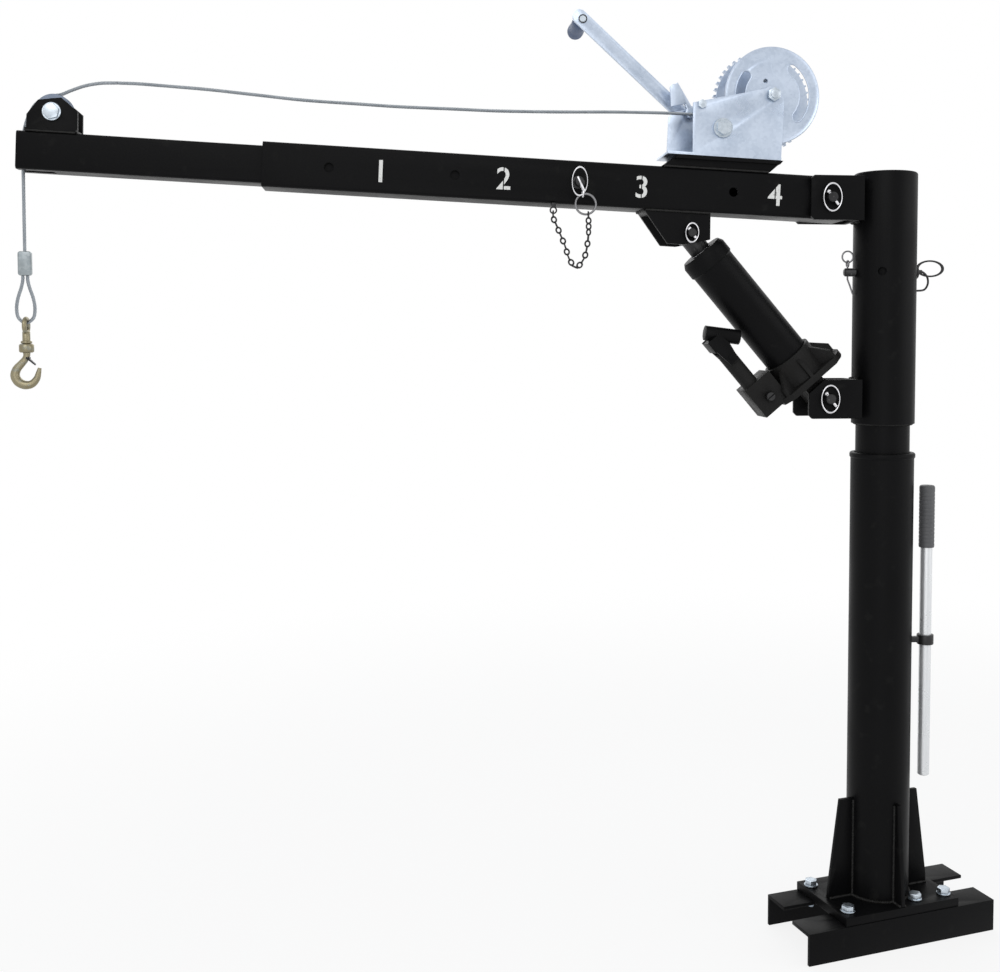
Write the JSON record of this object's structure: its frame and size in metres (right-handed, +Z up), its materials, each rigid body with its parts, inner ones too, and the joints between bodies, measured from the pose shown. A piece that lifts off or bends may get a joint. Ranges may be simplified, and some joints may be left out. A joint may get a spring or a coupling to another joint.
{
  "type": "pickup truck crane",
  "caption": "Black pickup truck crane with swivel mast, hydraulic boom jack, sliding boom extension, geared hand winch, wire rope and swivel hook",
  "frame": {"origin": "Centre of the underside of the base plate, on the mast axis", "axes": "+Z up along the mast, +X along the base angles away from the boom side, +Y across the base away from the pictured side"},
  "size_m": [1.3393, 0.3692, 1.3315],
  "materials": {
    "paint": "satin black powder coat",
    "cast": "black painted casting",
    "zinc": "bright zinc plate",
    "nickel": "nickel plated wire",
    "yellow": "yellow zinc plated steel",
    "bar": "bright drawn steel",
    "grip": "dark grey grip",
    "rope": "galvanised wire rope",
    "oxide": "black oxide"
  },
  "bodies": {
    "base": {"base_angle_front": "paint", "base_angle_rear": "paint", "base_plate": "paint", "base_bolt_front_1": "zinc", "base_bolt_front_2": "zinc", "base_bolt_front_3": "zinc", "base_bolt_rear_1": "zinc", "base_bolt_rear_2": "zinc", "base_bolt_rear_3": "zinc", "lower_post": "paint", "gusset_right": "paint", "gusset_rear": "paint", "gusset_left": "paint", "gusset_front": "paint", "neck_bearing_ring": "bar", "handle_clip": "oxide"},
    "handle": {"jack_handle_bar": "bar", "jack_handle_grip": "grip"},
    "head": {"neck_tube": "paint", "head_tube": "paint", "boom_bracket": "paint", "jack_bracket": "paint", "head_pin": "oxide", "head_pin_clip": "nickel", "boom_pivot_pin": "nickel", "jack_lower_pin": "nickel"},
    "boom": {"boom_tube": "paint", "boom_lug": "paint", "jack_upper_pin": "nickel", "winch_mount": "paint", "winch_frame": "zinc", "winch_tie_bar": "zinc", "drum_axle": "zinc", "cable_run": "rope", "lock_chain": "oxide"},
    "lockpin": {"boom_lock_pin": "oxide", "lock_pin_ring": "oxide"},
    "drum": {"drum_spool": "zinc", "drum_gear": "zinc", "drum_cable": "rope"},
    "crank": {"pinion_shaft": "zinc", "crank_arm": "zinc"},
    "grip": {"crank_grip": "grip"},
    "pawl": {"pawl": "zinc"},
    "extension": {"boom_extension": "paint", "sheave_bracket": "paint", "sheave_pin": "nickel", "cable_over": "rope"},
    "sheave": {"sheave": "zinc"},
    "drop": {"cable_drop": "rope"},
    "hookblock": {"cable_ferrule": "bar", "cable_eye": "rope", "hook_eye": "yellow"},
    "hook": {"hook": "yellow"},
    "latch": {"hook_latch": "oxide"},
    "jack": {"jack_base": "cast", "jack_cylinder": "paint"},
    "ram": {"jack_ram": "bar"},
    "socket": {"pump_socket": "paint"},
    "valve": {"release_valve": "oxide"}
  },
  "joints": [
    {"name": "head_swivel", "type": "hinge", "parent": "base", "child": "head", "pos_m": [0, 0, 0.677], "axis": [0, 0, 1], "continuous": true},
    {"name": "handle_lift", "type": "slide", "parent": "base", "child": "handle", "axis": [0, 0, 1], "range_m": [0, 0.095]},
    {"name": "boom_lift", "type": "hinge", "parent": "head", "child": "boom", "pos_m": [-0.09038, 0.02191, 1.016], "axis": [0.2356, 0.9719, 0], "range_deg": [0, 35]},
    {"name": "jack_tilt", "type": "hinge", "parent": "head", "child": "jack", "pos_m": [-0.09038, 0.02191, 0.735], "axis": [0.2356, 0.9719, 0], "range_deg": [0, 11.91]},
    {"name": "ram_extend", "type": "slide", "parent": "jack", "child": "ram", "axis": [-0.6298, 0.1527, 0.7616], "range_m": [0, 0.1]},
    {"name": "boom_extend", "type": "slide", "parent": "boom", "child": "extension", "axis": [-0.9708, 0.2354, 0.0455], "range_m": [-0.218, 0.336], "deforming": ["cable_run"]},
    {"name": "lock_pin_pull", "type": "slide", "parent": "boom", "child": "lockpin", "axis": [-0.2356, -0.9719, 0], "range_m": [0, 0.045], "deforming": ["lock_chain"]},
    {"name": "drum_spin", "type": "hinge", "parent": "boom", "child": "drum", "pos_m": [-0.17226, 0.04176, 1.15548], "axis": [0.2356, 0.9719, 0], "range_deg": [-214, 1670]},
    {"name": "crank_spin", "type": "hinge", "parent": "boom", "child": "crank", "pos_m": [-0.24194, 0.05865, 1.10869], "axis": [0.2356, 0.9719, 0], "range_deg": [-6263.5, 803.5]},
    {"name": "grip_spin", "type": "hinge", "parent": "crank", "child": "grip", "pos_m": [-0.39776, 0.18903, 1.27224], "axis": [0.2356, 0.9719, 0], "continuous": true},
    {"name": "pawl_swing", "type": "hinge", "parent": "boom", "child": "pawl", "pos_m": [-0.2646, 0.08987, 1.14055], "axis": [-0.2356, -0.9719, 0], "range_deg": [0, 25]},
    {"name": "sheave_spin", "type": "hinge", "parent": "extension", "child": "sheave", "pos_m": [-1.11075, 0.26927, 1.11644], "axis": [0.2356, 0.9719, 0], "continuous": true},
    {"name": "cable_swing", "type": "hinge", "parent": "extension", "child": "drop", "pos_m": [-1.15116, 0.27907, 1.0695], "axis": [0.2356, 0.9719, 0], "range_deg": [-35.01, 0], "deforming": ["cable_over"]},
    {"name": "hoist", "type": "slide", "parent": "drop", "child": "hookblock", "axis": [0, 0, -1], "range_m": [-0.0901, 0.7001], "deforming": ["cable_drop"]},
    {"name": "hook_swivel", "type": "hinge", "parent": "hookblock", "child": "hook", "pos_m": [-1.15116, 0.27907, 0.808], "axis": [0, 0, 1], "continuous": true},
    {"name": "latch_open", "type": "hinge", "parent": "hook", "child": "latch", "pos_m": [-1.14999, 0.27879, 0.7936], "axis": [0.2356, 0.9719, 0], "range_deg": [0, 40], "stiffness_Nm_per_rad": 0.05, "springref_deg": -17.19},
    {"name": "pump_stroke", "type": "hinge", "parent": "jack", "child": "socket", "pos_m": [-0.23088, 0.03951, 0.79385], "axis": [-0.2356, -0.9719, 0], "range_deg": [-6, 25]},
    {"name": "valve_turn", "type": "hinge", "parent": "jack", "child": "valve", "pos_m": [-0.1802, 0.01137, 0.73899], "axis": [0.2356, 0.9719, 0], "range_deg": [0, 270]}
  ],
  "couplings": [
    {"joint": "jack_tilt", "follows": "boom_lift", "ratio": 0.34026},
    {"joint": "ram_extend", "follows": "boom_lift", "m_per_rad": 0.16359},
    {"joint": "cable_swing", "follows": "boom_lift", "ratio": -1},
    {"joint": "crank_spin", "follows": "drum_spin", "ratio": -3.75},
    {"joint": "hoist", "follows": "drum_spin", "m_per_rad": 0.024}
  ]
}
